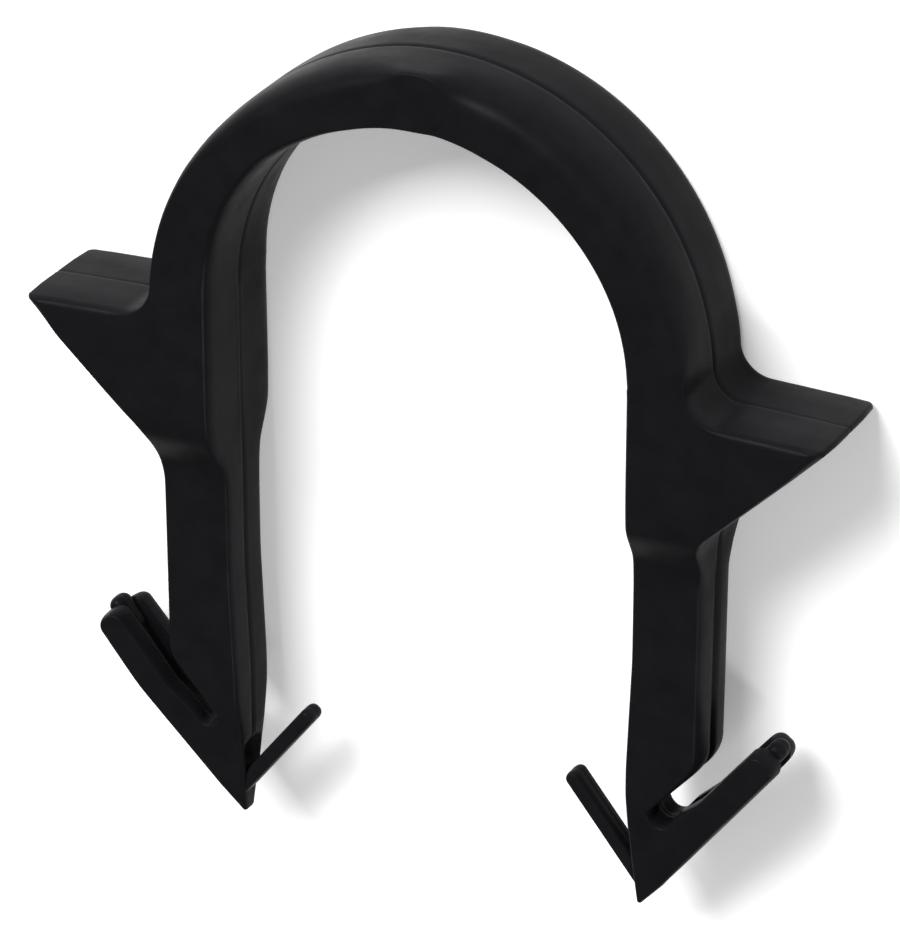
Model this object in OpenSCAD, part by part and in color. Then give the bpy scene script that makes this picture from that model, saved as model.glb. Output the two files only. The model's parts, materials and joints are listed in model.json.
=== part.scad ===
// Staple that holds an underfloor heating pipe down on its insulation board.
// One moulding: a half-round bow over the pipe, a driving shoulder on each side,
// and two slimmer legs that end in a barbed arrow point.
// It lies on its back: X runs across the two legs, +Y points from the feet to the bow,
// +Z is up through its thickness. The origin is on the pipe's axis, in the mould's parting plane.

/* [Pipe] */
// Outside diameter of the pipe under the bow
pipe_d = 20; // [14:0.5:25]
// Air between the pipe and the bow, all round
pipe_play = 0.25; // [0.1:0.05:0.8]

/* [Bow] */
// Width of the bow, from its inner to its outer face
bow_w = 3.1; // [2.6:0.1:4.5]
// Thickness of the bow and of the shoulders
bow_t = 6.4; // [5:0.1:8]
// Radius of the bow's two outer edges
outer_edge_r = 1.1; // [0.3:0.05:1.25]
// Radius of the bow's two inner edges
inner_edge_r = 1; // [0.3:0.05:1.1]
// Depth of the soft valley round the bow's outer face, along the parting line
parting_d = 0.15; // [0.04:0.01:0.3]
// Diameter of the ejector pad on top of the bow
pad_d = 2.9; // [1.5:0.1:4]

/* [Shoulders] */
// Distance from one shoulder's tip to the other's
shoulder_span = 39.8; // [36:0.1:52]
// Height from the shoulders' flat top up to the pipe's axis
shoulder_drop = 1.15; // [0.5:0.05:3]
// Slope of a shoulder's underside, from level
shoulder_slope = 43; // [35:1:50]
// Radius of a shoulder's tip
shoulder_tip_r = 0.32; // [0.3:0.02:0.8]
// Bevel along the shoulder's long edges
shoulder_bevel = 0.28; // [0.1:0.02:0.6]
// Amount by which a tip stands out at the parting line
shoulder_crown = 0.4; // [0:0.05:0.8]

/* [Legs] */
// Width of a leg below the shoulder
leg_w = 3.45; // [3:0.05:4.5]
// Thickness of a leg below the shoulder
leg_t = 3.3; // [2.8:0.1:4]
// Depth of the neck's top below the pipe's axis
neck_top = 6.9; // [5.5:0.1:9]
// Height over which the neck narrows
neck_h = 1.9; // [1:0.1:3]
// Radius of a leg's outer edges
leg_edge_r = 0.7; // [0.3:0.05:1]
// Radius of a leg's inner edges
leg_inner_r = 0.5; // [0.2:0.05:0.8]
// Depth of the soft valley down a leg's outer face, along the parting line
leg_parting_d = 0.25; // [0.04:0.01:0.4]
// Amount by which a leg swells on its inner face, above the foot
leg_swell = 0.25; // [0.05:0.05:0.5]

/* [Feet] */
// Depth of the feet's points below the pipe's axis
point_depth = 27.1; // [24:0.1:40]
// Angle between a leg and its barbs
barb_angle = 38; // [30:1:45]
// Length of the outer barb, from the point to its side plates' end
barb_l = 11.4; // [9:0.1:12]
// Width of the outer barb's side plates
barb_w = 1.45; // [1:0.05:1.8]
// Thickness of the middle rib, from which the inner barb grows
rib_t = 1.2; // [0.8:0.05:1.4]
// Amount by which the rib stands out past the side plates' end
rib_out = 0.35; // [0.1:0.05:0.8]
// Width of the slot between the outer barb and the leg
slot_w = 1.3; // [1:0.05:1.8]
// Distance from the point to the slot's root
slot_root = 4.5; // [4:0.05:6]
// Radius of the leg's corner above the slot
corner_r = 1.3; // [0.4:0.1:2]
// Length of the inner barb from the leg's inner face
inner_barb_l = 6.2; // [4:0.1:7]
// Width of the inner barb
inner_barb_w = 0.74; // [0.6:0.02:1.1]
// Height over which a foot narrows to its point
wedge_h = 6.3; // [5:0.1:8]

/* [Hidden] */
$fn = 96;
eps = 0.01;
// Radius of the bow's inner face, and of its outer face
bow_ri = pipe_d / 2 + pipe_play;
bow_ro = bow_ri + bow_w;
// Outer face of a lower leg
leg_xo = bow_ri + leg_w;
// Shoulder: centre of its round tip, and its underside, which is a tangent of the tip
tip_x = shoulder_span / 2 - shoulder_crown - shoulder_tip_r;
tip_y = -shoulder_drop - shoulder_tip_r;
under_y = tip_y - shoulder_tip_r / cos(shoulder_slope) - (tip_x - leg_xo) * tan(shoulder_slope);
neck_x = leg_xo + (-neck_top - under_y) / tan(shoulder_slope);
// Fillets above and below a shoulder
top_fillet_r = 1.5;
foot_fillet_r = 1.6;
// How far fillets and plates reach into what carries them
bite = 0.6;
// The point of a foot and its thickness there
point_x = bow_ri + 0.22;
point_y = -point_depth;
point_t = 0.7;
// Toe: the point's upright inner side, from which the inner barb grows
toe_x = point_x - 0.2;
toe_h = 0.85;
toe_y = point_y + toe_h;
// Round ends of the outer barb's plates and of its rib, and the rib's inset from the plates' edges
barb_r = 0.55;
rib_r = 0.48;
rib_inset = 0.2;
// Height at which the slot's upper edge meets the leg's outer face
slot_top_y = point_y
    + (barb_w + slot_w + (leg_xo - point_x) * cos(barb_angle)) / sin(barb_angle);
// Pocket in the leg's inner face, above the inner barb
pocket_y = toe_y + 1.8;
pocket_h = 1.9;
pocket_d = 0.5;
// Heights above the point at which a leg's swelling starts, is fullest and ends
swell_low = 3.2;
swell_mid = 5.8;
swell_top = 12.6;

// Points of a circular arc
function arc(cx, cy, r, a0, a1, n = 8) =
    [for (i = [0 : n]) let (a = a0 + (a1 - a0) * i / n) [cx + r * cos(a), cy + r * sin(a)]];

// Upper half of a bar's section: inner face at 0, outer face at w. From its rounded edge down to
// the parting plane the outer face sinks by d, with the square of the way
function half_section(w, t, ri, ro, d, n = 5) = concat(
    arc(ri, t / 2 - ri, ri, 180, 90),
    arc(w - ro, t / 2 - ro, ro, 90, 0),
    [for (i = [1 : n]) [w - d * pow(i / n, 2), (t / 2 - ro) * (1 - i / n)]]);

// Height of a leg's swelling at height h above the point: half a cosine wave up, another one down
function swell_at(h) = leg_swell * (1 + cos(180 * (h < swell_mid
    ? (swell_mid - h) / (swell_mid - swell_low)
    : (h - swell_mid) / (swell_top - swell_mid)))) / 2;

// Section of a bar w wide and t thick, the same above and below the parting plane
module bar_section(w, t, ri, ro, d) {
    top = half_section(w, t, ri, ro, d);
    n = len(top);
    polygon(concat(top, [for (i = [n - 2 : -1 : 0]) [top[i][0], -top[i][1]]]));
}

// Bar that runs along Y from y0 down to y1, with its inner face at the bow's inner radius
module upright(y0, y1, w, t, ri, ro, d) {
    translate([bow_ri, y0, 0]) rotate([90, 0, 0])
        linear_extrude(y0 - y1) bar_section(w, t, ri, ro, d);
}

// Half-round bow over the pipe, with the flat mark of the ejector pin on its crown
module bow() {
    rotate_extrude(angle = 180) translate([bow_ri, 0])
        bar_section(bow_w, bow_t, inner_edge_r, outer_edge_r, parting_d);
    pad_h = max(inner_edge_r, outer_edge_r);
    translate([0, bow_ri + bow_w / 2, bow_t / 2 - pad_h]) cylinder(d = pad_d, h = pad_h);
}

// Outline of a shoulder: flat top, round tip and straight sloping underside
module shoulder_outline(inset, out = 0) {
    x0 = bow_ro - 3 * bite;
    polygon(concat(
        [[x0, -shoulder_drop - inset]],
        arc(tip_x + out, tip_y, shoulder_tip_r - inset, 90, shoulder_slope - 90, 7),
        [[neck_x - inset / sin(shoulder_slope), -neck_top], [x0, -neck_top]]));
}

// Driving shoulder: a bevelled plate as thick as the bow, filleted to it
module shoulder() {
    b = shoulder_bevel;
    hull() {
        linear_extrude(0.3, center = true) shoulder_outline(0, shoulder_crown);
        linear_extrude(bow_t * 0.5, center = true) shoulder_outline(0, shoulder_crown * 0.75);
        linear_extrude(bow_t - 2 * b, center = true) shoulder_outline(0);
        linear_extrude(bow_t, center = true) shoulder_outline(b);
    }
    // fillet between the flat top and the bow's outer face
    translate([bow_ro, -shoulder_drop, 0]) difference() {
        translate([-bite, -bite, 0]) linear_extrude(bow_t - 2 * b, center = true)
            square(top_fillet_r + bite);
        translate([top_fillet_r, top_fillet_r, 0])
            cylinder(r = top_fillet_r, h = bow_t + 1, center = true);
    }
    // fillet between the underside and the leg's outer face
    r = foot_fillet_r;
    c = [leg_xo + r, under_y + r * tan(shoulder_slope) - r / cos(shoulder_slope)];
    linear_extrude(leg_t - leg_edge_r, center = true) difference() {
        polygon([[leg_xo - bite, c[1]], c, c + r * [-sin(shoulder_slope), cos(shoulder_slope)],
                 [leg_xo - bite, under_y + bite]]);
        translate(c) circle(r);
    }
}

// Neck: from the bow's thickness to the leg's. The valley in the leg's outer face runs out on it
module neck() {
    a = inner_edge_r * 0.7;
    hull() {
        for (k = [[0, a], [a, 0]])
            translate([bow_ri + k[0], -neck_top, -bow_t / 2 + k[1]])
                cube([neck_x - bow_ri - k[0] * 1.4, 0.2, bow_t - 2 * k[1]]);
        for (k = [[0, leg_inner_r], [leg_inner_r, 0]])
            translate([bow_ri + k[0], -neck_top - neck_h, -leg_t / 2 + k[1]])
                cube([leg_w - leg_parting_d - 2 * k[0], 0.1, leg_t - 2 * k[1]]);
    }
}

// Bar from the foot's point outwards along a barb, on the upper side of the barb's lower edge
module barb_bar(l, w, up, r) {
    translate([point_x, point_y]) rotate(90 - barb_angle) translate([0, up]) {
        square([l - r, w]);
        translate([0, r]) square([l, w - 2 * r]);
        for (y = [r, w - r]) translate([l - r, y]) circle(r);
    }
}

// Space below the foot: under the outer barb's lower edge and under the inner barb's
module below_foot() {
    translate([point_x, point_y]) rotate(90 - barb_angle) translate([-20, -20]) square([60, 20]);
    translate([toe_x, toe_y]) rotate(90 + barb_angle) square([40, 20]);
    translate([toe_x - 20, point_y - 20]) square([20, 20 + toe_h]);
}

// Slot between the leg and the outer barb, open at the top, with a round root
module slot() {
    r = slot_w / 2;
    translate([point_x, point_y]) rotate(90 - barb_angle) translate([slot_root + r, barb_w + r]) {
        circle(r);
        translate([0, -r]) square([20, slot_w]);
    }
}

// Round corner of the leg above the slot: what is cut off outside the corner's arc
module slot_corner() {
    r = corner_r;
    c = [leg_xo - r, slot_top_y + r * tan(barb_angle / 2)];
    difference() {
        polygon([c, c + (r + bite) * [cos(barb_angle), -sin(barb_angle)],
                 [leg_xo + bite, slot_top_y], [leg_xo + bite, c[1]]]);
        translate(c) circle(r);
    }
}

// Pocket in the leg's inner face, as deep at its top as at its middle
module pocket() {
    translate([bow_ri, pocket_y, 0]) linear_extrude(rib_t, center = true)
        polygon([[-1, 0], [0, 0.15 * pocket_h], [pocket_d, 0.5 * pocket_h],
                 [pocket_d, 0.8 * pocket_h], [0, pocket_h], [-1, pocket_h]]);
}

// Arrow foot: leg and side plates cut to a wedge, with the rib's nub and the inner barb
module foot() {
    intersection() {
        difference() {
            union() {
                upright(-neck_top, point_y - 1, leg_w, leg_t, leg_inner_r, leg_edge_r, leg_parting_d);
                for (s = [-1, 1]) translate([0, 0, s * (leg_t + rib_t) / 4])
                    linear_extrude((leg_t - rib_t) / 2, center = true) barb_bar(barb_l, barb_w, 0, barb_r);
                linear_extrude(rib_t + 2 * eps, center = true)
                    barb_bar(barb_l + rib_out, barb_w - 2 * rib_inset, rib_inset, rib_r);
            }
            linear_extrude(leg_t + 1, center = true) {
                intersection() {
                    slot();
                    translate([bow_ri + leg_inner_r, point_y]) square([40, 20]);
                }
                slot_corner();
                below_foot();
            }
            pocket();
        }
        // the foot grows thinner from its shoulders to its point
        rotate([90, 0, 90]) linear_extrude(80, center = true) polygon([
            [0, leg_t / 2], [point_y + wedge_h, leg_t / 2], [point_y, point_t / 2],
            [point_y, -point_t / 2], [point_y + wedge_h, -leg_t / 2], [0, -leg_t / 2]]);
    }
    inner_barb();
}

// Inner barb: one thin finger from the rib, up the inside of the leg
module inner_barb() {
    r = inner_barb_w / 2;
    translate([toe_x, toe_y, 0]) rotate(90 + barb_angle)
        linear_extrude(rib_t, center = true) {
            translate([-bite, -inner_barb_w]) square([inner_barb_l + bite - r, inner_barb_w]);
            translate([inner_barb_l - r, -r]) circle(r);
        }
}

// Swelling on the inner face of a leg, fullest just above the inner barb
module swell() {
    linear_extrude(leg_t - 2 * leg_inner_r, center = true) translate([bow_ri, point_y])
        polygon(concat([[bite, swell_low]],
            [for (i = [0 : 12]) let (h = swell_low + (swell_top - swell_low) * i / 12) [-swell_at(h), h]],
            [[bite, swell_top]]));
}

// One side of the staple, from the bow's end down to the foot
module side() {
    upright(eps, -neck_top, bow_w, bow_t, inner_edge_r, outer_edge_r, parting_d);
    shoulder();
    neck();
    swell();
    foot();
}

// The whole moulding
module staple() color([0.13, 0.13, 0.14]) {
    bow();
    side();
    mirror([1, 0, 0]) side();
}

staple();
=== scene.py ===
import json
import bpy
import numpy as np
from mathutils import Matrix
from mathutils.geometry import delaunay_2d_cdt

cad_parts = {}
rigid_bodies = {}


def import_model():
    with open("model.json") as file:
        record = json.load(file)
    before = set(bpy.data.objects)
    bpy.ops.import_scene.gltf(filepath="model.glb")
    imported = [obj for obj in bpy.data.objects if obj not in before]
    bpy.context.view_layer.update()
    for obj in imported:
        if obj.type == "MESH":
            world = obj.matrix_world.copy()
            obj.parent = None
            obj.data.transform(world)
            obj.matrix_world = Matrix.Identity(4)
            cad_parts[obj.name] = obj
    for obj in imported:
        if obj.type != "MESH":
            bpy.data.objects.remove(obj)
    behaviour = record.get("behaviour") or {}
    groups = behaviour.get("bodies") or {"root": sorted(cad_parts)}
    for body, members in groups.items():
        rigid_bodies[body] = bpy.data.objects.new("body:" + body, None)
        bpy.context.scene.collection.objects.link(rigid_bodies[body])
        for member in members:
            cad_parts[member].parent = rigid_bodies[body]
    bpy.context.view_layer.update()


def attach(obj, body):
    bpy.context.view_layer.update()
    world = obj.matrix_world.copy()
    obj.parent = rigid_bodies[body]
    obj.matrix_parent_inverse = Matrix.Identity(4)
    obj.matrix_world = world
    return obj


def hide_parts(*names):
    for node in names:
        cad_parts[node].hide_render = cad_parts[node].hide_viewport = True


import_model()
mm = 0.001  # lengths below are in millimetres, and a mesh is scaled to metres when it is added
print("frame loaded")

camera = {
    "azimuth": 25.971, "elevation": 25.165,     # round the staple's own upright, in degrees
    "distance": 273.183, "aimX": 0.353, "aimY": -6.235,
    "lens": 236.5, "sensor": 36,                # in true millimetres, as on a camera
    "clip": (0.01, 20),                         # in metres
}


def makeCamera(c):
    # Stands at "distance" in the direction (sin az cos el, sin el, cos az cos el), shifted by the aim
    a, e = np.radians(c["azimuth"]), np.radians(c["elevation"])
    back = np.array([np.sin(a) * np.cos(e), np.sin(e), np.cos(a) * np.cos(e)])
    side = np.array([np.cos(a), 0, -np.sin(a)])
    up = np.cross(back, side)
    place = (c["distance"] * back + c["aimX"] * side + c["aimY"] * up) * mm
    data = bpy.data.cameras.new("camera")
    data.lens, data.sensor_width = c["lens"], c["sensor"]
    data.clip_start, data.clip_end = c["clip"]
    cam = bpy.data.objects.new("camera", data)
    bpy.context.scene.collection.objects.link(cam)
    turned = np.eye(4)
    turned[:3, :] = np.column_stack([side, up, back, place])
    cam.matrix_world = Matrix(turned.tolist())
    bpy.context.scene.camera = cam


makeCamera(camera)
print("camera set")

# The moulding is one closed skin: an outline in its parting plane, a wall that rises from it to the
# front and to the back with a rounded edge on each, and a face on either side at the half thickness.
# An edge has a width, how far the face lies in from the wall, and a sharpness, the power of its curve
bow = {
    "innerAcross": 10.27, "innerUp": 10.34, "outerRadius": 13.25, "junction": 3.2,
    # rows: angle from +X, how far the outer face stands out, widths of its front and back edges;
    # the front one narrows where the ejector pad reaches it and before the shoulders
    "outer": np.array([
        (3.2, .10, .16, .16), (6, .09, .30, .20), (9, .07, .75, .24), (13, .05, 1.10, .26),
        (22, .02, 1.2, .26), (40, 0, 1.22, .28), (60, 0, 1.25, .30), (78, 0, 1.2, .36),
        (80.8, 0, 1.05, .4), (82.8, 0, .62, .4), (84.8, 0, .28, .4), (87, 0, .14, .4),
        (91, 0, .14, .4), (93.5, 0, .36, .4), (97, 0, .75, .44), (101, -.01, 1.0, .5),
        (112, -.04, 1.15, .5), (124, -.05, 1.1, .5), (136, -.01, .8, .5), (150, .06, .44, .5),
        (162, .10, .30, .4), (171, .11, .22, .3), (176.8, .10, .16, .2)]),
    # rows: angle from +X, how far the inner face stands back from the pipe, and the same two widths
    "inner": np.array([
        (0, .05, .40, .4), (20, .04, .34, .4), (45, 0, .22, .4), (70, -.03, .18, .4),
        (84, 0, .24, .4), (87, 0, .16, .4), (92, 0, .14, .4), (95, 0, .18, .4),
        (108, -.01, .22, .5), (122, .05, .4, .6), (135, .17, .5, .6), (150, .15, .5, .6),
        (168, .06, .5, .5), (180, .02, .46, .4)]),
    # the sharpness of edges of these widths: a wide one is softer
    "widths": [.12, .3, .5, .8, 1.2], "sharpness": [14, 8.5, 6, 4.8, 3.4],
    "groove": .07,                              # depth of the parting line's groove
}
arm = {  # the outer barb: its lower edge starts under the foot's point and leans out from the leg
    "baseX": 10.482, "baseY": -27.10, "angle": 38.2, "length": 11.42, "width": 1.86, "endWidth": 1.52,
    "slotRoot": 4.40, "slotWidth": 1.04, "slotRadius": .46, "cornerDrop": .60,
}
leg = {"inner": 10.20, "swell": 9.96, "outer": 13.72, "outerBelow": 13.66, "groove": .17}
shoulder = {
    "top": -0.95, "tipTop": -1.13, "tipX": 20.145, "tipRadius": .18,
    "rootX": 15.1, "rootY": -5.84,              # where the underside ends beside the neck
}
edges = {  # width, sharpness and how far the wall stands in, of the front half and then of the back half
    "bow": (.40, 7, .04, .40, 6, .05),
    "neck": (.34, 7, .06, .34, 6, .03),
    "legInside": (.24, 6, -.03, .14, 7, -.03),
    "toe": (.16, 6, 0, .16, 6, 0),
    "barb": (.20, 6, 0, .20, 6, 0),
    "barbEnd": (.22, 5, 0, .28, 4, .10),
    "barbTop": (.22, 5, 0, .28, 4, .12),
    "slot": (.18, 7, 0, .18, 7, .08),
    "legOutside": (.30, 3.2, .05, .34, 3.4, 0),
    "root": (.20, 12, -.05, .20, 12, -.02),
    "underside": (.20, 12, 0, .20, 12, 0),
    "shoulderTop": (.42, 14, 0, .26, 16, 0),
    "junction": (.16, 12, 0, .16, 12, 0),
}


def alongArm(along, up):
    # A point so far along the outer barb and so far above its lower edge
    a = np.radians(arm["angle"])
    return (arm["baseX"] + along * np.sin(a) - up * np.cos(a),
            arm["baseY"] + along * np.cos(a) + up * np.sin(a))


def cornerTable():
    # Right half, from the bow's inner end down the leg, round the foot and up the outside.
    # Each row: x, y, bend radius, kind of edge, groove along the parting line, gap beside the middle rib
    plate, tip, low = arm["width"], arm["endWidth"], arm["width"] + arm["slotWidth"]
    root, end, a = arm["slotRoot"], arm["length"], np.radians(arm["angle"])
    # where the slot's upper edge meets the leg's outer face
    across = (leg["outerBelow"] - arm["baseX"]) * np.cos(a)
    slotTop = arm["baseY"] + (low + across) / np.sin(a) - arm["cornerDrop"]
    # the straight line that leaves the bow's outer arc at the junction, down to the shoulder's top
    j, r = np.radians(bow["junction"]), bow["outerRadius"] + bow["outer"][0, 1]
    topX = (r - shoulder["top"] * np.sin(j)) / np.cos(j)
    rows = [
        (10.28, 0.00, 0, "bow", .06, 0),
        (10.26, -6.2, 0, "neck", .06, 0),
        (leg["inner"] + .02, -8.9, 8, "legInside", .05, 0),
        (leg["inner"], -14., 30, "legInside", .05, 0),
        (leg["swell"], -19.5, 20, "legInside", .05, 0),
        (leg["swell"] - .01, -22.6, 6, "legInside", .05, 0),
        (leg["swell"] + .02, -23.35, 0, "legInside", .04, 0),
        (leg["swell"] + .03, -23.5, 0, "legInside", 0, .55),      # the pocket above the inner barb
        (leg["swell"] + .05, -24.6, 0, "legInside", 0, .55),
        (leg["swell"] + .07, -24.9, .8, "legInside", 0, .10),
        (10.06, -25.75, .5, "toe", 0, 0),
        (10.15, -27.30, .14, "toe", 0, 0),                        # the point
        (*alongArm(1.6, 0), 0, "barb", 0, 0),
        (*alongArm(4.0, 0), 0, "barb", 0, .10),
        (*alongArm(6.0, 0), 0, "barb", 0, .26),
        (*alongArm(end, 0), .62, "barbEnd", 0, .40),
        (*alongArm(end, tip), .62, "barbTop", 0, .40),
        (*alongArm(7.0, tip + .08), 0, "slot", 0, .50),
        (*alongArm(root + 1.2, plate), 0, "slot", .03, .30),
        (*alongArm(root, plate), arm["slotRadius"], "slot", .05, 0),
        (*alongArm(root, low), arm["slotRadius"], "slot", .05, 0),
        (leg["outerBelow"], slotTop, 1.7, "legOutside", leg["groove"], 0),
        (leg["outer"], -14., 8, "legOutside", leg["groove"], 0),
        (leg["outer"] + .04, -9.4, 8, "legOutside", leg["groove"], 0),
        (leg["outer"] + .05, -7.1, 2.1, "root", .08, 0),
        (shoulder["rootX"], shoulder["rootY"], 0, "root", .04, 0),
        (shoulder["tipX"], shoulder["tipTop"], shoulder["tipRadius"], "underside", .02, 0),
        (18.6, shoulder["tipTop"] + .07, 0, "shoulderTop", .015, 0),
        (15.2, shoulder["top"], 0, "shoulderTop", .025, 0),
        (topX, shoulder["top"], 1.5, "junction", .06, 0),
        (r * np.cos(j), r * np.sin(j), 0, "junction", .07, 0),
    ]
    return np.array([(x, y, bend, *edges[kind], groove, gap) for x, y, bend, kind, groove, gap in rows])


def roundedLine(table, spacing, turn=7.0, spread=0.2):
    # Line through the table's points; each corner is a tangent arc of its own radius.
    # Every point also gets its corner's number, less or more by up to the spread along an arc and a
    # fraction between two corners, to look up the other columns
    points, number = [table[:1, :2]], [np.zeros(1)]
    for i in range(1, len(table) - 1):
        before, here, after = table[i - 1, :2], table[i, :2], table[i + 1, :2]
        a, c = before - here, after - here
        a, c = a / np.hypot(*a), c / np.hypot(*c)
        half = np.arccos(np.clip(a @ c, -1, 1)) / 2
        radius = table[i, 2]
        if radius == 0 or half > np.radians(89.9):
            arc = here[None]
        else:
            middle = here + (a + c) / np.hypot(*(a + c)) * radius / np.sin(half)
            start, stop = here + a * radius / np.tan(half), here + c * radius / np.tan(half)
            sweep = np.pi - 2 * half
            t = np.linspace(0, 1, max(4, int(np.ceil(np.degrees(sweep) / turn)) + 1))[:, None]
            fan = np.sin((1 - t) * sweep) * (start - middle) + np.sin(t * sweep) * (stop - middle)
            arc = middle + fan / np.sin(sweep)
        gap = np.hypot(*(arc[0] - points[-1][-1]))
        steps = max(1, int(np.ceil(gap / spacing)))
        t = np.linspace(0, 1, steps + 1)[1:-1, None]
        first = i - 1 + (spread if table[i - 1, 2] > 0 else 0)
        wide = spread if len(arc) > 1 else 0
        points += [points[-1][-1] * (1 - t) + arc[0] * t, arc]
        number += [first + (i - wide - first) * t[:, 0], np.linspace(i - wide, i + wide, len(arc))]
    points = np.concatenate(points + [table[-1:, :2]])
    return points, np.concatenate(number + [np.array([len(table) - 1.0])])


def eased(points, values, reach=0.3, gapShare=0.4):
    # Every value becomes the mean of its neighbours', weighted by exp(-(distance / reach)^2), with the
    # distance taken along the outline. The gap, the last column, has a shorter reach
    step = np.hypot(*(np.roll(points, -1, 0) - points).T)
    along = np.concatenate([[0], np.cumsum(step)[:-1]])
    apart = np.abs(along[:, None] - along[None])
    apart = np.minimum(apart, step.sum() - apart)
    share = (step + np.roll(step, 1)) / 2
    made = np.empty_like(values)
    for k, spread in enumerate([reach, reach, reach, reach, reach * gapShare]):
        weight = np.exp(-(apart / spread) ** 2) * share
        made[:, k] = weight @ values[:, k] / weight.sum(1)
    return made


fineness = {  # points on half of the bow's inner and outer face, and the other lines' spacing
    "innerPoints": 112, "outerPoints": 118, "spacing": 0.34,
}


def mouldOutline():
    # Inner half ellipse, the corner table's line and the outer arc, mirrored; on the bow the radius then
    # grows by the bow tables' second column. Returns the points, and for the front and for the back five
    # values at each point: edge width, sharpness, stand-in, groove, gap
    a = np.radians(np.linspace(90, 0, fineness["innerPoints"]))[:-1]
    inner = np.column_stack([bow["innerAcross"] * np.cos(a), bow["innerUp"] * np.sin(a)])
    table = cornerTable()
    line, number = roundedLine(table, fineness["spacing"])
    a = np.radians(np.linspace(bow["junction"], 90, fineness["outerPoints"]))[1:]
    outer = bow["outerRadius"] * np.column_stack([np.cos(a), np.sin(a)])
    corners = np.arange(len(table))
    columns = np.column_stack([np.interp(number, corners, table[:, k]) for k in range(3, 11)])
    # part is 1 on the bow's inner face, 2 on its outer face and 0 on the corner table's line
    part = np.concatenate([np.full(len(inner), 1), np.zeros(len(line)), np.full(len(outer), 2)])
    bare = np.array([0, 0, 0, 0, 0, 0, bow["groove"], 0])
    columns = np.concatenate([np.tile(bare, (len(inner), 1)), columns, np.tile(bare, (len(outer), 1))])
    half = np.concatenate([inner, line, outer])
    whole = np.concatenate([half, half[-2:0:-1] * [-1, 1]])
    part, columns = np.concatenate([part, part[-2:0:-1]]), np.concatenate([columns, columns[-2:0:-1]])
    angle = np.degrees(np.arctan2(whole[:, 1], whole[:, 0]))
    inside, outside = bow["inner"], bow["outer"]
    onBow = [np.where(part == 2, np.interp(angle, outside[:, 0], outside[:, k]),
                      np.interp(angle, inside[:, 0], inside[:, k])) for k in (1, 2, 3)]
    whole = whole * (1 + np.where(part > 0, onBow[0], 0) / np.hypot(*whole.T))[:, None]
    sides = []
    for k in (0, 1):
        width = np.where(part > 0, onBow[1 + k], columns[:, 3 * k])
        bowSharp = np.interp(width, bow["widths"], bow["sharpness"])
        sharp = np.where(part > 0, bowSharp, columns[:, 3 * k + 1])
        values = np.column_stack([width, sharp, columns[:, 3 * k + 2], columns[:, 6:]])
        sides.append(eased(whole, values))
    return whole, sides[0], sides[1]


thickness = {  # half thicknesses, where along Y they change, and how soft those bends are
    "bow": 3.2, "leg": 1.64, "foot": 1.67, "point": 0.33,
    "neckTop": -6.9, "neckEnd": -8.75, "neckSoft": 0.6,
    "wedgeTop": -20.9, "wedgeEnd": -27.5, "wedgeSoft": 0.3,
    "growOver": 8,                              # length over which a leg grows to the foot's thickness
    # rows of points on the faces where they bend: from, to, step
    "neckRows": (-6.0, -9.8, -0.16), "wedgeRows": (-20.2, -27, -0.4),
}


def softRamp(y, top, bottom, soft):
    # Straight ramp from 0 at top to 1 at bottom, with its two bends eased over a short length
    t = (top - y) / (top - bottom)
    k = soft / abs(top - bottom)
    ease = lambda v: 0.5 * (v + np.sqrt(v * v + k * k))
    return ease(t) - ease(t - 1)


def halfThickness(y):
    # Bow's half thickness, less the neck's step, then a straight wedge to the point
    t = thickness
    neck = softRamp(y, t["neckTop"], t["neckEnd"], t["neckSoft"])
    legGrow = np.clip((t["neckEnd"] - y) / t["growOver"], 0, 1)
    wedge = softRamp(y, t["wedgeTop"], t["wedgeEnd"], t["wedgeSoft"])
    below = t["leg"] + (t["foot"] - t["leg"]) * legGrow
    return t["bow"] + (below - t["bow"]) * neck - (t["foot"] - t["point"]) * wedge


def smoothStep(t):
    # 3 t^2 - 2 t^3, from 0 to 1 with level ends
    return t * t * (3 - 2 * t)


def inward(points):
    # Unit normals of a closed line, to its left: the mean direction of both sides, turned by 90 degrees
    ahead, behind = np.roll(points, -1, 0) - points, points - np.roll(points, 1, 0)
    t = ahead / np.linalg.norm(ahead, axis=1)[:, None] + behind / np.linalg.norm(behind, axis=1)[:, None]
    t = t / np.linalg.norm(t, axis=1)[:, None]
    return np.column_stack([-t[:, 1], t[:, 0]])


def insidePolygon(p, loop):
    # Odd number of the loop's sides crossed by a ray to +X
    a, b = loop, np.roll(loop, -1, 0)
    y = p[:, 1][:, None]
    crosses = (a[:, 1] > y) != (b[:, 1] > y)
    rise = np.where(b[:, 1] == a[:, 1], 1e-9, b[:, 1] - a[:, 1])
    x = a[:, 0] + (y - a[:, 1]) * (b[:, 0] - a[:, 0]) / rise
    return (np.sum(crosses & (x > p[:, 0][:, None]), axis=1) % 2) == 1


def faceFill(loop, spacing, rows, more, clear=0.14):
    # Points on a square grid, with more rows and points where asked, kept clear of the loop,
    # then joined to triangles
    xs = np.arange(loop[:, 0].min(), loop[:, 0].max(), spacing)
    ys = np.unique(np.concatenate([np.arange(loop[:, 1].min(), loop[:, 1].max(), spacing), rows]))
    p = np.concatenate([np.array(np.meshgrid(xs, ys)).reshape(2, -1).T, more])
    p = p[insidePolygon(p, loop)]
    p = p[np.min(np.linalg.norm(p[:, None] - loop[None], axis=2), axis=1) > clear]
    n = len(loop)
    sides = np.column_stack([np.arange(n), (np.arange(n) + 1) % n])
    made = delaunay_2d_cdt(np.concatenate([loop, p]).tolist(), sides.tolist(), [list(range(n))], 1, 1e-7)
    return np.array(made[0]), np.array(made[2]), made[3]


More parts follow.
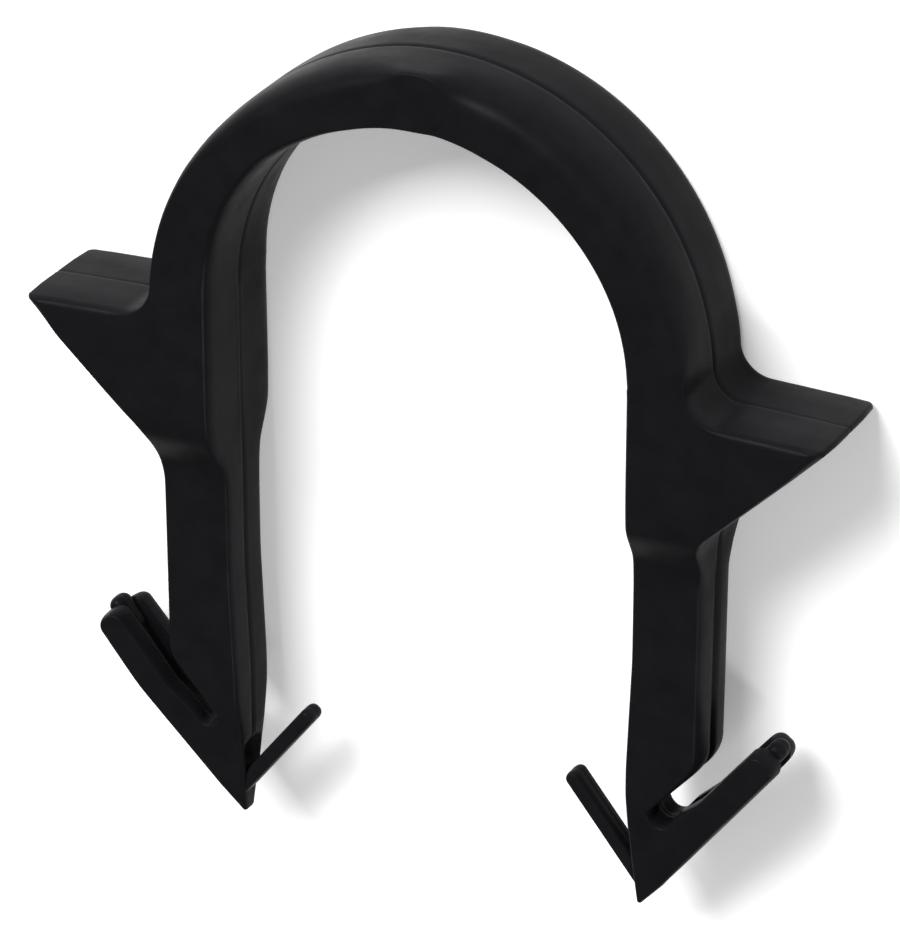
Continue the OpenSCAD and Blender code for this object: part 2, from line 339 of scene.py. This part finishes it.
rib = {  # in the middle of each foot's thickness: the outer barb's nub and the inner barb
    "half": 0.6, "below": 0.03,                 # half thickness, and least depth under the foot's face
    "nubStart": 4.9, "nubEnd": 11.78, "nubLow": 0.30, "nubHigh": 1.22,
    "stepFrom": 9.3, "stepTo": 10.1, "stepLow": 0.72,      # the nub rises from its low stretch
    "nubRadii": [.1, .44, .44, .5, .5, .1], "nubEdge": (.34, 2.6),
    "toeX": 10.27, "toeY": -26.26, "barbLength": 6.3, "barbWidth": 0.76,
    "rootBack": 0.45, "rootUp": 1.1, "rootInside": [(11.2, -25.6), (10.9, -24.9)],  # hidden in the foot
    "barbRadii": [.1, .1, .1, .25, .34, .34], "barbEdge": (.2, 5),
    "groove": 0.01,
}
wallShape = {
    # rows of points: shares of the half thickness, then angles along the rounded edge
    "rows": np.array([0, .012, .026, .042, .062, .088, .12, .155, .195, .235, .27, .30, .33,
                      .355, .38, .405, .435, .48]),
    "edgeAngles": np.radians([23, 29, 35, 41, 47, 53, 59, 65, 71, 76.5, 81.5, 86, 90]),
    "standOver": 0.3,                           # height over which the wall moves to its stand-in
    "grooveReach": 0.2, "grooveSpread": 1.6,    # groove's half width: reach + spread times its depth
    "gapPast": 0.05, "gapOver": 0.1,            # the gap ends so far beyond the rib, over this height
}


def halfWall(outline, values, height):
    # Row k of the wall lies at the share u of the half thickness. Its inset from the outline is
    # width (1 - sqrt(1 - u^sharpness)), plus the stand-in beyond the parting line, the groove,
    # which fades as (1 - z / half width)^2 and is wider where it is deeper, and the gap beside the rib
    w = wallShape
    width, sharp, stand, groove, gap = values.T
    edgeRows = np.sin(w["edgeAngles"])[:, None] ** (2 / sharp)[None]
    u = np.concatenate([np.tile(w["rows"][:, None], (1, len(outline))), edgeRows])
    z = u * height(outline[:, 1])
    inset = width * (1 - np.sqrt(np.clip(1 - u ** sharp, 0, 1)))
    inset = inset + stand * np.clip(z / w["standOver"], 0, 1)
    inset = inset + groove * np.clip(1 - z / (w["grooveReach"] + w["grooveSpread"] * groove), 0, 1) ** 2
    beside = np.clip((rib["half"] + w["gapPast"] - z) / w["gapOver"], 0, 1)
    inset = inset + gap * smoothStep(beside)
    xy = outline[None] + inward(outline)[None] * inset[..., None]
    return np.concatenate([xy, (u * height(xy[..., 1]))[..., None]], axis=2)


def faceMesh(rim, first, newFirst, height, fill, rows, more):
    # Triangles of one face, joined in plan: its rim is the wall's last row, its other points are new
    flat, tris, came = faceFill(rim, fill, rows, more)
    number = np.array([c[0] if c and c[0] < len(rim) else -1 for c in came])
    new = np.flatnonzero(number < 0)
    number = number + first
    number[new] = newFirst + np.arange(len(new))
    a, b, c = flat[tris[:, 0]], flat[tris[:, 1]], flat[tris[:, 2]]
    turn = (b[:, 0] - a[:, 0]) * (c[:, 1] - a[:, 1]) - (b[:, 1] - a[:, 1]) * (c[:, 0] - a[:, 0])
    facing = number[np.where(turn[:, None] > 0, tris, tris[:, ::-1])]
    return np.column_stack([flat[new], height(flat[new][:, 1])]), facing


def skin(outline, front, back, height, fill=0.5, rows=(), more=np.zeros((0, 2))):
    # The wall's rows from the back face's rim to the front's, joined by quads, and the two faces.
    # Also gives each point's share of edge: sin(2 angle) on the rounded edges, 0 elsewhere
    n = len(outline)
    wallFront = halfWall(outline, front, height)
    wallBack = halfWall(outline, back, height) * [1, 1, -1]
    wall = np.concatenate([wallBack[:0:-1], wallFront])
    k = len(wall)
    i, j = np.meshgrid(np.arange(k - 1), np.arange(n), indexing="ij")
    j1 = (j + 1) % n
    quads = np.stack([i * n + j, i * n + j1, (i + 1) * n + j1, (i + 1) * n + j], -1).reshape(-1, 4)
    rows = np.asarray(rows, float)
    extra, tris = faceMesh(wall[-1, :, :2], (k - 1) * n, k * n, height, fill, rows, more)
    extraBack, trisBack = faceMesh(wall[0, :, :2], 0, k * n + len(extra), height, fill, rows, more[:0])
    points = np.concatenate([wall.reshape(-1, 3), extra, extraBack * [1, 1, -1]])
    half = np.concatenate([np.zeros(len(wallShape["rows"])), np.sin(2 * wallShape["edgeAngles"])])
    edge = np.zeros(len(points))
    edge[:k * n] = np.repeat(np.concatenate([half[:0:-1], half]), n)
    return points, quads, np.concatenate([tris, trisBack[:, ::-1]]), edge


tipCorner = {"radius": 0.8, "draw": 0.55, "from": 18.0, "over": 1.8}


def roundTips(points, c):
    # The shoulder's tip is rounded off towards the front and the back: over the last "radius" of the
    # half thickness it draws in along an ellipse, and less towards the bow
    x, y, z = points.T
    share = np.clip((np.abs(x) - c["from"]) / c["over"], 0, 1)
    rise = np.clip((np.abs(z) - thickness["bow"]) / c["radius"] + 1, 0, 1)
    draw = c["draw"] * smoothStep(share) * (1 - np.sqrt(1 - rise * rise))
    return np.column_stack([x - np.sign(x) * draw, y, z])


pad = {  # the round ejector pad on the crown's front
    "x": 0.2, "y": 11.9, "radius": 1.5, "step": 0.045,
    "rings": np.array([-.2, -.11, -.04, .03, .1, .2]),      # of points, by distance from the rim
    "ringPoints": 72,
    "rim": .12,                                 # the step takes so much to either side of the radius
    "fadeY": (8.5, 2.5), "fadeZ": (1.8, 1.2),   # the lowering starts there, and is full so much further
}


def padRings(p):
    # Circles of points on either side of the pad's rim
    a = np.linspace(0, 2 * np.pi, p["ringPoints"], endpoint=False)
    r = (p["radius"] + p["rings"])[:, None]
    return np.stack([p["x"] + r * np.cos(a), p["y"] + r * np.sin(a)], -1).reshape(-1, 2)


def raisePad(points, p):
    # The front face round the ejector pad lies lower than the pad by the step, fading out along the
    # bow and down its wall: step times smoothStep(way out of the pad) times smoothStep(fade)
    x, y, z = points.T
    far = np.hypot(x - p["x"], y - p["y"]) - p["radius"]
    out = np.clip((far + p["rim"]) / (2 * p["rim"]), 0, 1)
    fromY, overY = p["fadeY"]
    fromZ, overZ = p["fadeZ"]
    fade = np.clip((y - fromY) / overY, 0, 1) * np.clip((z - fromZ) / overZ, 0, 1)
    return np.column_stack([x, y, z - p["step"] * smoothStep(out) * smoothStep(fade)])


def addMesh(name, points, quads, tris, edge, material):
    # The edge's share goes with the mesh as an attribute, for the wear in the material
    mesh = bpy.data.meshes.new(name)
    mesh.from_pydata((points * mm).tolist(), [], quads.tolist() + tris.tolist())
    mesh.polygons.foreach_set("use_smooth", np.ones(len(mesh.polygons), bool))
    mesh.attributes.new("edge", "FLOAT", "POINT").data.foreach_set("value", edge.astype(np.float32))
    mesh.materials.append(material)
    obj = bpy.data.objects.new(name, mesh)
    bpy.context.scene.collection.objects.link(obj)
    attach(obj, "root")
    return obj


plastic = {
    "colour": (0.0056, 0.0056, 0.0066, 1), "mottle": 1.35, "mottleScale": 700,
    "roughness": 0.37, "roughnessSpread": 0.12, "roughnessScale": 420, "specular": 0.025,
    "wear": 0.5, "wearScale": 900, "wearGloss": 0.12,
    # bumps: strength, noise scale and depth in metres; the streaks are long along the legs
    "waves": (0.12, 300, 0.0004), "grain": (0.12, 5200, 0.00004),
    "streaks": (0.10, 1500, 0.00006), "streakStretch": (1, 0.12, 1),
}


def blackPlastic(p):
    # Near-black moulded plastic: mottled colour, roughness that varies, fine grain over slow sink waves,
    # faint flow streaks along the legs, and edges rubbed a little lighter and smoother
    mat = bpy.data.materials.new("blackPlastic")
    mat.use_nodes = True
    nodes, links = mat.node_tree.nodes, mat.node_tree.links
    nodes.clear()
    out = nodes.new("ShaderNodeOutputMaterial")
    shade = nodes.new("ShaderNodeBsdfPrincipled")
    links.new(shade.outputs[0], out.inputs[0])
    place = nodes.new("ShaderNodeTexCoord").outputs["Object"]

    def noise(scale, detail, rough=0.5, stretch=None):
        n = nodes.new("ShaderNodeTexNoise")
        n.inputs["Scale"].default_value = scale
        n.inputs["Detail"].default_value = detail
        n.inputs["Roughness"].default_value = rough
        source = place
        if stretch:
            turn = nodes.new("ShaderNodeMapping")
            turn.inputs["Scale"].default_value = stretch
            links.new(place, turn.inputs["Vector"])
            source = turn.outputs[0]
        links.new(source, n.inputs["Vector"])
        return n.outputs["Fac"]

    def ramp(value, low, high, start=0.3, stop=0.7):
        r = nodes.new("ShaderNodeMapRange")
        for name, v in (("From Min", start), ("From Max", stop), ("To Min", low), ("To Max", high)):
            r.inputs[name].default_value = v
        links.new(value, r.inputs["Value"])
        return r.outputs["Result"]

    def maths(kind, a, b):
        m = nodes.new("ShaderNodeMath")
        m.operation = kind
        for socket, v in zip(m.inputs, (a, b)):
            if isinstance(v, (int, float)):
                socket.default_value = v
            else:
                links.new(v, socket)
        return m.outputs[0]

    def bump(height, strength, distance, before=None):
        b = nodes.new("ShaderNodeBump")
        b.inputs["Strength"].default_value, b.inputs["Distance"].default_value = strength, distance
        links.new(height, b.inputs["Height"])
        if before:
            links.new(before, b.inputs["Normal"])
        return b.outputs[0]

    edge = nodes.new("ShaderNodeAttribute")
    edge.attribute_name = "edge"
    worn = ramp(noise(p["wearScale"], 4, 0.6), 0, p["wear"], 0.35, 0.65)
    wear = maths("MULTIPLY", edge.outputs["Fac"], worn)
    tone = maths("ADD", ramp(noise(p["mottleScale"], 4, 0.6), 0, 1), wear)
    mix = nodes.new("ShaderNodeMix")
    mix.data_type = "RGBA"
    mix.clamp_factor = False
    mix.inputs["A"].default_value = p["colour"]
    mix.inputs["B"].default_value = tuple(c * p["mottle"] for c in p["colour"][:3]) + (1,)
    links.new(tone, mix.inputs["Factor"])
    links.new(mix.outputs["Result"], shade.inputs["Base Color"])
    low, high = p["roughness"] - p["roughnessSpread"] / 2, p["roughness"] + p["roughnessSpread"] / 2
    patchy = ramp(noise(p["roughnessScale"], 5, 0.6), low, high)
    rubbed = maths("MULTIPLY", wear, p["wearGloss"])
    links.new(maths("SUBTRACT", patchy, rubbed), shade.inputs["Roughness"])
    shade.inputs["Specular IOR Level"].default_value = p["specular"]
    strength, scale, depth = p["waves"]
    waves = bump(noise(scale, 2), strength, depth)
    strength, scale, depth = p["streaks"]
    streaks = bump(noise(scale, 3, 0.6, p["streakStretch"]), strength, depth, waves)
    strength, scale, depth = p["grain"]
    links.new(bump(noise(scale, 3, 0.6), strength, depth, streaks), shade.inputs["Normal"])
    return mat


material = blackPlastic(plastic)
outline, front, back = mouldOutline()
bends = np.concatenate([np.arange(*thickness["neckRows"]), np.arange(*thickness["wedgeRows"])])
points, quads, tris, edge = skin(outline, front, back, halfThickness, rows=bends, more=padRings(pad))
points = raisePad(roundTips(points, tipCorner), pad)
body = addMesh("stapleBody", points, quads, tris, edge, material)
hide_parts("staple")
print("body:", len(points), "points,", len(quads) * 2 + len(tris), "triangles")


def ribHeight(y):
    # The rib's half thickness, or a little less than the foot's where the wedge is thinner
    return np.minimum(rib["half"], halfThickness(y) - rib["below"])


def ribOutlines(r):
    # The nub follows the outer barb; the inner barb leans in from the toe by the same angle
    nub = np.array([alongArm(r["nubStart"], r["nubLow"]), alongArm(r["nubEnd"], r["nubLow"]),
                    alongArm(r["nubEnd"], r["nubHigh"]), alongArm(r["stepTo"], r["nubHigh"]),
                    alongArm(r["stepFrom"], r["stepLow"]), alongArm(r["nubStart"], r["stepLow"])])
    a = np.radians(arm["angle"])
    along, across = np.array([-np.sin(a), np.cos(a)]), np.array([np.cos(a), np.sin(a)])
    toe = np.array([r["toeX"], r["toeY"]])
    tip, wide = toe + along * r["barbLength"], across * r["barbWidth"]
    innerBarb = np.array([toe - along * r["rootBack"], *r["rootInside"], toe + along * r["rootUp"] + wide,
                          tip + wide, tip])
    return nub, innerBarb


def closedRounded(shape, radii, spacing):
    # The same rounded line, run once round a closed shape: it starts and ends in the middle of a side
    middle = (shape[0] + shape[-1]) / 2
    table = np.column_stack([np.vstack([middle, shape, middle]), np.concatenate([[0], radii, [0]])])
    line, _ = roundedLine(table, spacing, 12)
    return line[:-1]


def anticlockwise(loop):
    # Twice the area, summed as x1 y2 - x2 y1, tells which way the loop runs
    nxt = np.roll(loop, -1, 0)
    area = np.sum(loop[:, 0] * nxt[:, 1] - loop[:, 1] * nxt[:, 0])
    return loop if area > 0 else loop[::-1]


nub, innerBarb = ribOutlines(rib)
nubLoop = closedRounded(nub, rib["nubRadii"], 0.25)
barbLoop = closedRounded(innerBarb, rib["barbRadii"], 0.22)
for name, loop, rounding in (("nub", nubLoop, rib["nubEdge"]), ("innerBarb", barbLoop, rib["barbEdge"])):
    loop = anticlockwise(loop)
    given = np.tile([*rounding, 0, rib["groove"], 0], (len(loop), 1))
    p, q, t, e = skin(loop, given, given, ribHeight, fill=0.3)
    addMesh(name + "Right", p, q, t, e, material)
    addMesh(name + "Left", p * [-1, 1, 1], q[:, ::-1], t[:, ::-1], e, material)
print("ribs and inner barbs made")

studio = {
    "floorZ": -3.2, "floorSize": 6000, "floorColour": (0.95, 0.95, 0.95, 1), "floorRoughness": 0.9,
    "floorGlow": 0.2, "world": 0.28,
    "lamps": [  # name, place in mm, size in mm, power in watts
        ("over", (-170, 360, 400), (380, 260), 4.6),
        ("side", (400, -200, 190), (60, 200), 1.0),
        ("strip", (-210, 430, 222), (200, 60), 0.35),
    ],
}


def paleFloor(s):
    # Its own lit colour, and a little glow that only camera, glossy and transmission rays see
    mat = bpy.data.materials.new("paleFloor")
    mat.use_nodes = True
    nodes, links = mat.node_tree.nodes, mat.node_tree.links
    shade = nodes["Principled BSDF"]
    shade.inputs["Base Color"].default_value = s["floorColour"]
    shade.inputs["Roughness"].default_value = s["floorRoughness"]
    shade.inputs["Specular IOR Level"].default_value = 0
    path, glow = nodes.new("ShaderNodeLightPath"), nodes.new("ShaderNodeEmission")
    seen = path.outputs["Is Camera Ray"]
    for ray in ("Is Glossy Ray", "Is Transmission Ray"):
        also = nodes.new("ShaderNodeMath")
        also.operation, also.use_clamp = "ADD", True
        links.new(seen, also.inputs[0])
        links.new(path.outputs[ray], also.inputs[1])
        seen = also.outputs[0]
    level = nodes.new("ShaderNodeMath")
    level.operation = "MULTIPLY"
    level.inputs[1].default_value = s["floorGlow"]
    links.new(seen, level.inputs[0])
    links.new(level.outputs[0], glow.inputs["Strength"])
    both = nodes.new("ShaderNodeAddShader")
    links.new(shade.outputs[0], both.inputs[0])
    links.new(glow.outputs[0], both.inputs[1])
    links.new(both.outputs[0], nodes["Material Output"].inputs["Surface"])
    return mat


def makeStudio(s):
    # A floor under the staple, an even white world, and lamps that shine from their places to the origin
    bpy.ops.mesh.primitive_plane_add(size=s["floorSize"] * mm, location=(0, 0, s["floorZ"] * mm))
    floor = bpy.context.object
    floor.name = "floor"
    floor.data.materials.append(paleFloor(s))
    world = bpy.data.worlds.new("studio")
    world.use_nodes = True
    world.node_tree.nodes["Background"].inputs[0].default_value = (1, 1, 1, 1)
    world.node_tree.nodes["Background"].inputs[1].default_value = s["world"]
    bpy.context.scene.world = world
    for name, place, size, power in s["lamps"]:
        light = bpy.data.lights.new(name, "AREA")
        light.shape, light.energy = "RECTANGLE", power
        light.size, light.size_y = size[0] * mm, size[1] * mm
        lamp = bpy.data.objects.new(name, light)
        away = np.array(place, float)
        away /= np.linalg.norm(away)
        side = np.cross([0, 0, 1.0], away)
        side /= np.linalg.norm(side)
        turned = np.eye(4)
        turned[:3, :] = np.column_stack([side, np.cross(away, side), away, np.array(place) * mm])
        lamp.matrix_world = Matrix(turned.tolist())
        bpy.context.scene.collection.objects.link(lamp)
    bpy.context.scene.view_settings.view_transform = "Standard"


makeStudio(studio)
print("studio lit")

bpy.context.view_layer.update()
